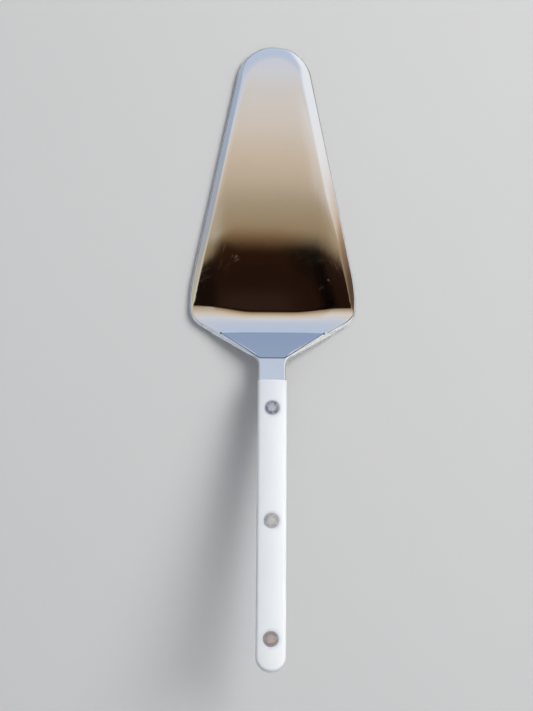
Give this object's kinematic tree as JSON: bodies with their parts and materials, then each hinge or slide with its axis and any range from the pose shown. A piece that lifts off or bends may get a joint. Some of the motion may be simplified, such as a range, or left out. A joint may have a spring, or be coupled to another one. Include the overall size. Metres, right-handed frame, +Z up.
{
  "type": "cake server",
  "caption": "Cake server with a tapered round-tipped polished steel blade, cranked shoulder and neck, and a straight white riveted handle.",
  "frame": {"origin": "middle of the blade floor's underside, in the plane that the blade rests on", "axes": "+Y towards the blade's tip, +Z up, +X across the blade; the handle rises towards -Y"},
  "size_m": [0.07, 0.2554, 0.0491],
  "materials": {
    "polished_steel": "mirror-polished stainless steel with fine use marks",
    "white_acrylic": "polished white acrylic, slightly translucent at the edges",
    "rivet_metal": "ground flush with the scales, fine satin"
  },
  "bodies": {
    "root": {"blade": "polished_steel", "upper_scale": "white_acrylic", "lower_scale": "white_acrylic", "front_rivet_pin": "rivet_metal", "front_rivet_sleeve": "rivet_metal", "middle_rivet_pin": "rivet_metal", "middle_rivet_sleeve": "rivet_metal", "rear_rivet_pin": "rivet_metal", "rear_rivet_sleeve": "rivet_metal"}
  },
  "joints": []
}
